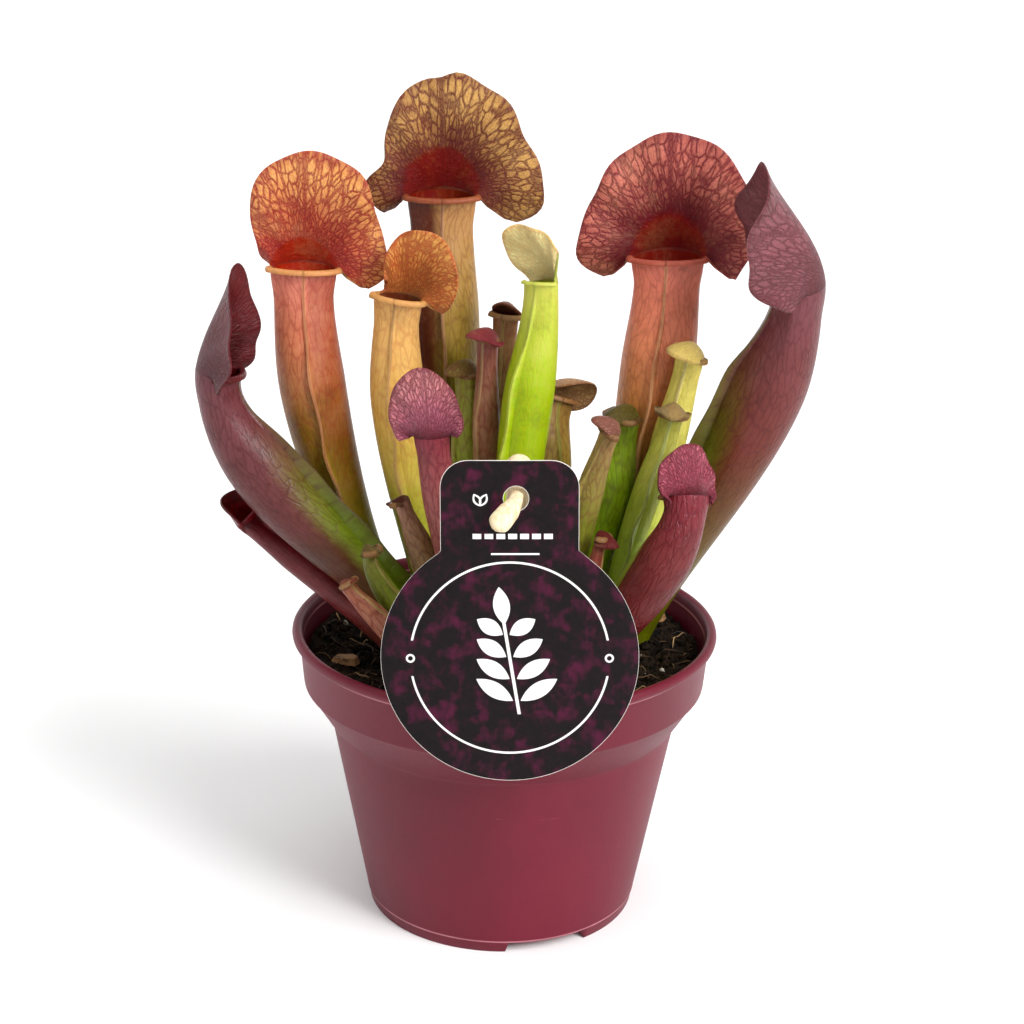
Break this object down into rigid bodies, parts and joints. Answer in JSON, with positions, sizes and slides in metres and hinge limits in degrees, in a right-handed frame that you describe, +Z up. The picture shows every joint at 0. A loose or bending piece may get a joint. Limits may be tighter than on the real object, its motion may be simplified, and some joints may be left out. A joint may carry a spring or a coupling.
{
  "type": "potted pitcher plant",
  "caption": "Pitcher plant with open, veined, hooded tubes in a tapered plastic nursery pot of peat, with a printed label card on a wooden stake.",
  "frame": {"origin": "on the floor, under the middle of the plant's bounding box; the pot's axis stands 0.3 mm towards -X and 3.4 mm towards +Y of it", "axes": "+Z up along the pot's axis, -Y is the front, the side with the label card, +X is to the viewer's right seen from the front"},
  "size_m": [0.1696, 0.1268, 0.2353],
  "materials": {
    "pot": "satin",
    "soil": "loose peat fibre",
    "rhizome": "rough",
    "label_card": "printed, semi-gloss",
    "label_stake": "plain, unpainted",
    "bark_chip_1": "raw",
    "bark_chip_2": "raw",
    "bark_chip_3": "raw",
    "pitcher_01": "waxy leaf",
    "pitcher_02": "waxy leaf",
    "pitcher_03": "waxy leaf",
    "pitcher_04": "waxy leaf",
    "pitcher_05": "waxy leaf",
    "pitcher_06": "waxy leaf",
    "pitcher_07": "waxy leaf",
    "pitcher_08": "waxy leaf",
    "pitcher_09": "waxy leaf",
    "pitcher_10": "waxy leaf",
    "pitcher_11": "waxy leaf",
    "pitcher_12": "waxy leaf",
    "pitcher_13": "waxy leaf",
    "pitcher_14": "waxy leaf",
    "pitcher_15": "waxy leaf",
    "pitcher_16": "waxy leaf",
    "pitcher_17": "waxy leaf",
    "pitcher_18": "waxy leaf",
    "pitcher_19": "waxy leaf",
    "pitcher_20": "waxy leaf",
    "pitcher_21": "waxy leaf",
    "pitcher_22": "waxy leaf",
    "pitcher_23": "waxy leaf"
  },
  "bodies": {
    "root": {"pot": "pot", "soil": "soil", "rhizome": "rhizome", "label_card": "label_card", "label_stake": "label_stake", "bark_chip_1": "bark_chip_1", "bark_chip_2": "bark_chip_2", "bark_chip_3": "bark_chip_3", "pitcher_01": "pitcher_01", "pitcher_02": "pitcher_02", "pitcher_03": "pitcher_03", "pitcher_04": "pitcher_04", "pitcher_05": "pitcher_05", "pitcher_06": "pitcher_06", "pitcher_07": "pitcher_07", "pitcher_08": "pitcher_08", "pitcher_09": "pitcher_09", "pitcher_10": "pitcher_10", "pitcher_11": "pitcher_11", "pitcher_12": "pitcher_12", "pitcher_13": "pitcher_13", "pitcher_14": "pitcher_14", "pitcher_15": "pitcher_15", "pitcher_16": "pitcher_16", "pitcher_17": "pitcher_17", "pitcher_18": "pitcher_18", "pitcher_19": "pitcher_19", "pitcher_20": "pitcher_20", "pitcher_21": "pitcher_21", "pitcher_22": "pitcher_22", "pitcher_23": "pitcher_23"}
  },
  "joints": []
}
